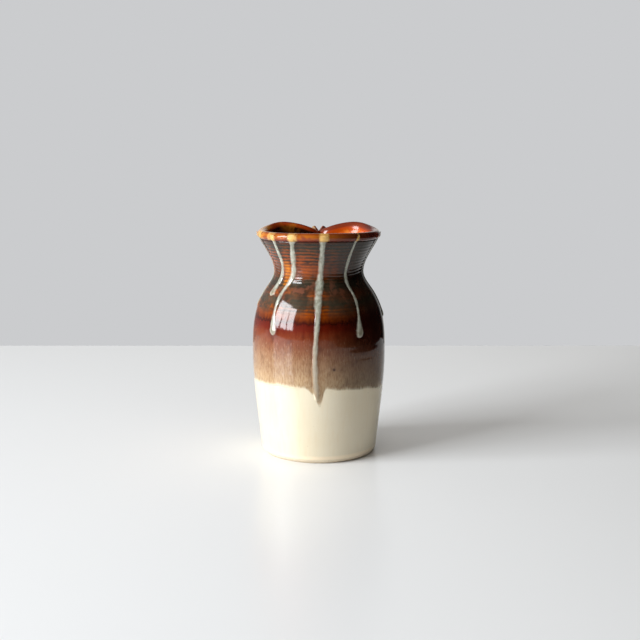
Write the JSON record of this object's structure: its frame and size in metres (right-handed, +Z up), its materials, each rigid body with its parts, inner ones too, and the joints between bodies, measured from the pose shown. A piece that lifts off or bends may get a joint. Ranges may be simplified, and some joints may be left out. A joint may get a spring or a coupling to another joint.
{
  "type": "bud vase",
  "caption": "Wheel-thrown ceramic bud vase with a waisted neck, a flared rim pinched into a small fold at the back, and glaze runs down the sides.",
  "frame": {"origin": "middle of the plane that the foot stands on", "axes": "+Z up; +Y towards the pinched fold in the rim, so the plain front of the vase faces -Y"},
  "size_m": [0.0754, 0.0761, 0.129],
  "materials": {
    "clay": "bare fired stoneware, matt",
    "liner": "glossy amber to dark brown glaze",
    "cream": "glossy cream glaze",
    "brown": "glossy red-brown glaze, mottled and streaked",
    "runs": "glossy pale grey-green ash glaze"
  },
  "bodies": {
    "root": {"clay_body": "clay", "liner_glaze": "liner", "cream_glaze": "cream", "brown_glaze": "brown", "run_front": "runs", "run_front_right": "runs", "run_right": "runs", "run_back_right": "runs", "run_right_of_fold": "runs", "run_left_of_fold": "runs", "run_back_left": "runs", "run_left": "runs", "run_left_short": "runs", "run_front_left": "runs"}
  },
  "joints": []
}
